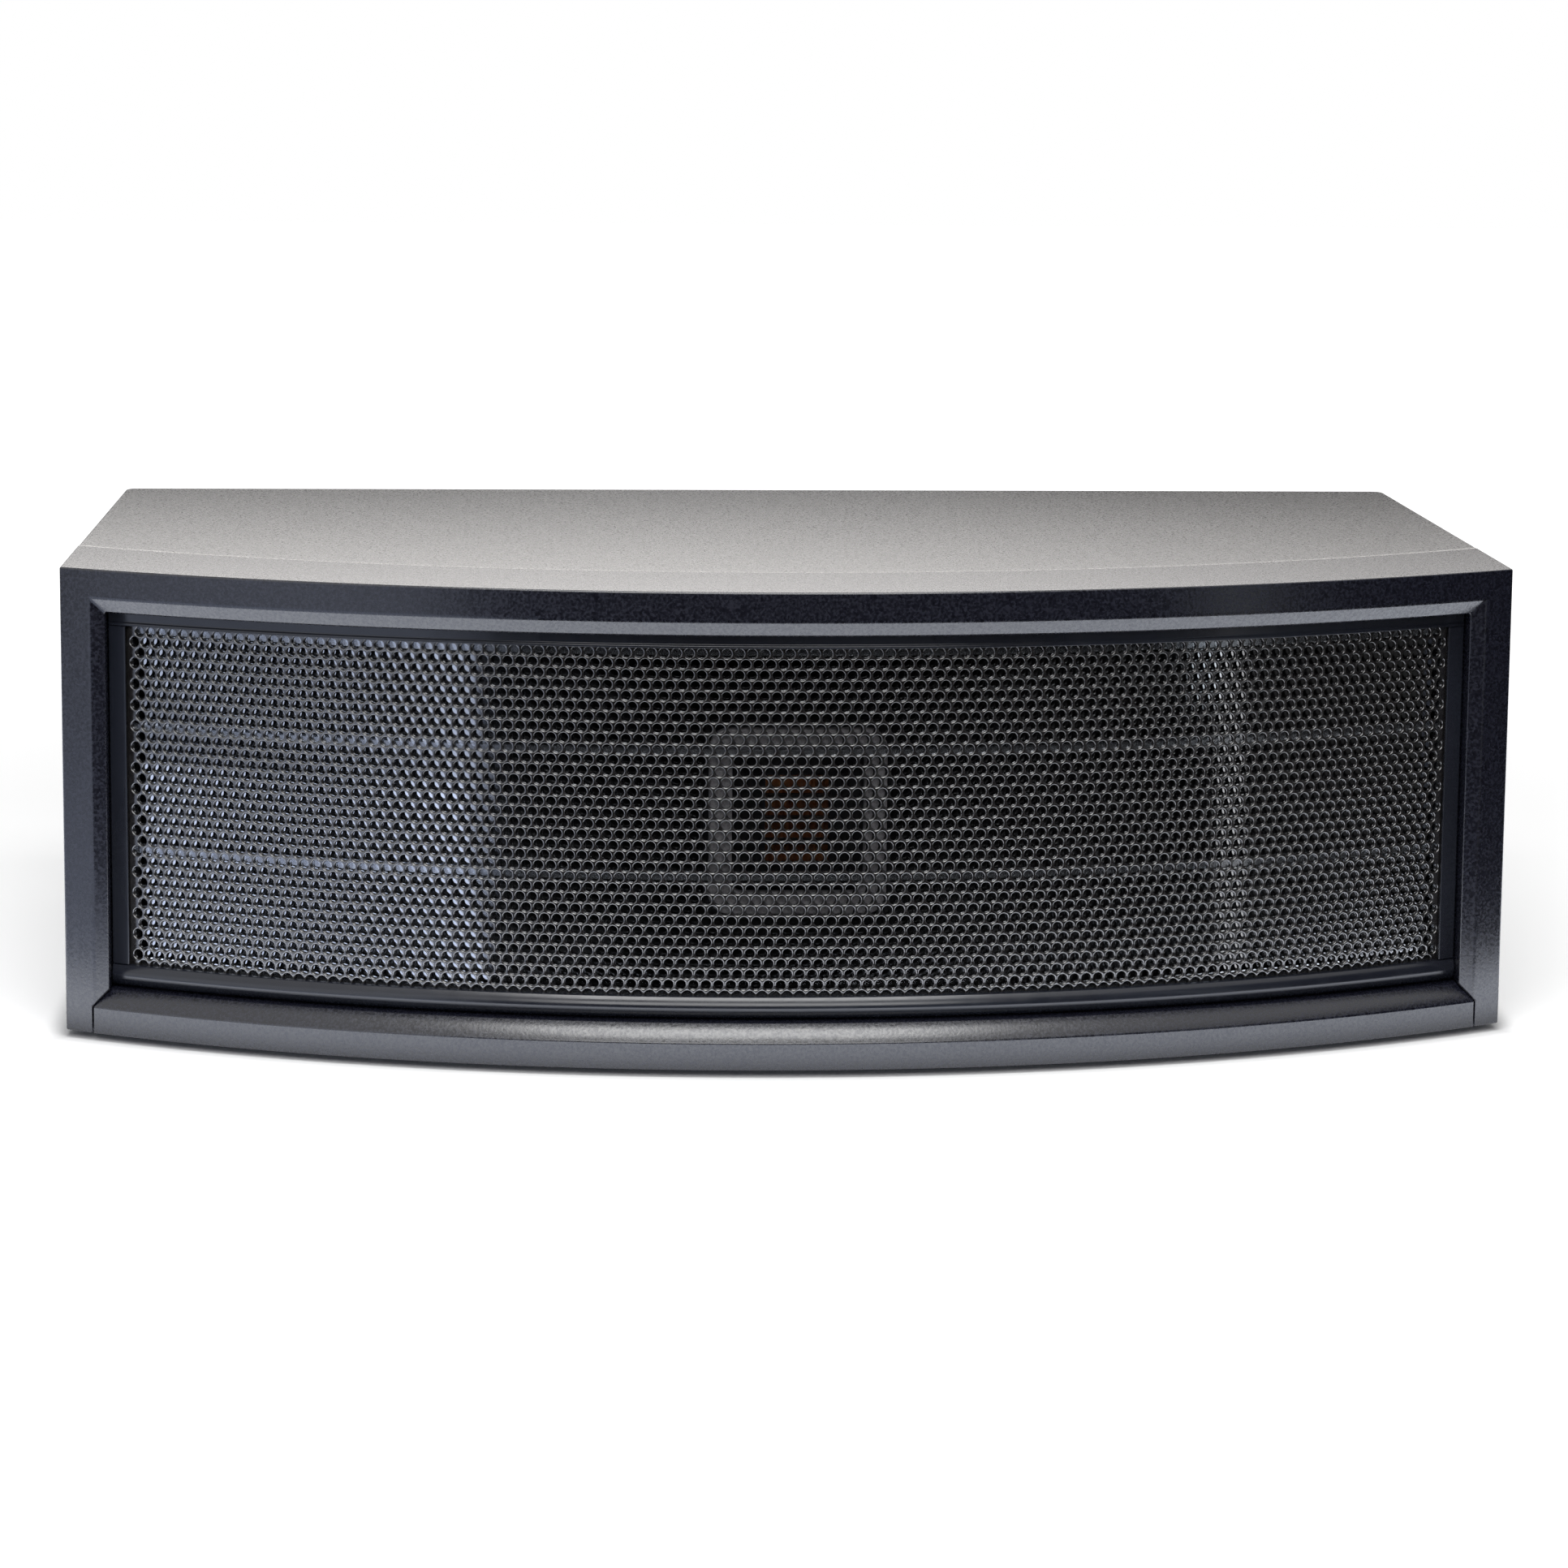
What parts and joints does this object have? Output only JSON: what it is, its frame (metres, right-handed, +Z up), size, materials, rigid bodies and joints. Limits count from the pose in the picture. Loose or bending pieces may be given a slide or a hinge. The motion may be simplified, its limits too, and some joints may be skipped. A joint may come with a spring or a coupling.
{
  "type": "center channel speaker",
  "caption": "Low, wide center channel loudspeaker with a bowed front, a curved perforated electrostatic panel in a chamfered bezel, drivers behind it and turning binding caps at the rear.",
  "frame": {"origin": "middle of the bounding box's footprint, on the surface that the feet stand on", "axes": "+X to the listener's right, +Y from the bowed front to the rear, +Z up"},
  "size_m": [0.57, 0.3607, 0.187],
  "materials": {
    "satin_paint": "satin near-black paint with fine metal flake",
    "board_paint": "fibreboard in the same satin near-black paint",
    "trim_black": "gloss black",
    "stator_coat": "dark coat on steel sheet",
    "film_clear": "clear tensioned film",
    "clear_plastic": "clear strip and tape",
    "baffle_board": "matt black fibreboard",
    "foam_grey": "grey closed-cell foam",
    "black_plastic": "matt black",
    "pleat_film": "brown film with conductor",
    "dark_steel": "dark steel and ferrite",
    "cone_paper": "black cone",
    "black_rubber": "matt rubber",
    "copper": "wound copper",
    "board_green": "circuit board",
    "screw_black": "black oxide",
    "bare_wood": "raw batten",
    "gold_brass": "gold plated",
    "cap_red": "red",
    "cap_black": "black"
  },
  "bodies": {
    "cabinet": {"bias_supply_board": "board_green", "board_standoffs": "black_plastic", "bottom_trim": "trim_black", "cabinet_bottom": "board_paint", "cabinet_left_side": "board_paint", "cabinet_right_side": "board_paint", "cabinet_top": "board_paint", "crossover_board": "board_green", "crossover_capacitors": "black_plastic", "crossover_inductors": "copper", "diaphragm_film": "film_clear", "film_spars": "clear_plastic", "front_baffle": "baffle_board", "front_bezel": "satin_paint", "front_spacer": "clear_plastic", "front_stator": "stator_coat", "left_trim": "trim_black", "left_woofer_basket": "dark_steel", "left_woofer_cone": "cone_paper", "left_woofer_dust_cap": "cone_paper", "left_woofer_magnet": "dark_steel", "left_woofer_screws": "screw_black", "left_woofer_spider": "cone_paper", "left_woofer_surround": "black_rubber", "left_woofer_voice_coil": "copper", "left_woofer_yoke": "dark_steel", "lower_rail": "satin_paint", "negative_binding_post": "gold_brass", "positive_binding_post": "gold_brass", "post_insulators": "black_plastic", "post_nuts": "gold_brass", "power_inlet": "black_plastic", "rear_cleats": "bare_wood", "rear_panel": "board_paint", "rear_panel_screws": "screw_black", "rear_spacer": "clear_plastic", "rear_stator": "stator_coat", "right_trim": "trim_black", "right_woofer_basket": "dark_steel", "right_woofer_cone": "cone_paper", "right_woofer_dust_cap": "cone_paper", "right_woofer_magnet": "dark_steel", "right_woofer_screws": "screw_black", "right_woofer_spider": "cone_paper", "right_woofer_surround": "black_rubber", "right_woofer_voice_coil": "copper", "right_woofer_yoke": "dark_steel", "rubber_feet": "black_rubber", "step_up_transformer": "dark_steel", "terminal_plate": "black_plastic", "terminal_screws": "screw_black", "top_trim": "trim_black", "tweeter_foam_gasket": "foam_grey", "tweeter_magnet": "dark_steel", "tweeter_plate": "black_plastic", "tweeter_pleated_film": "pleat_film", "tweeter_screws": "screw_black"},
    "positive_cap": {"positive_binding_cap": "cap_red"},
    "negative_cap": {"negative_binding_cap": "cap_black"}
  },
  "joints": [
    {"name": "positive_cap_turn", "type": "hinge", "parent": "cabinet", "child": "positive_cap", "pos_m": [-0.00953, 0.1726, 0.09485], "axis": [0, 1, 0], "range_deg": [0, 1080]},
    {"name": "negative_cap_turn", "type": "hinge", "parent": "cabinet", "child": "negative_cap", "pos_m": [0.00953, 0.1726, 0.09485], "axis": [0, 1, 0], "range_deg": [0, 1080]}
  ]
}
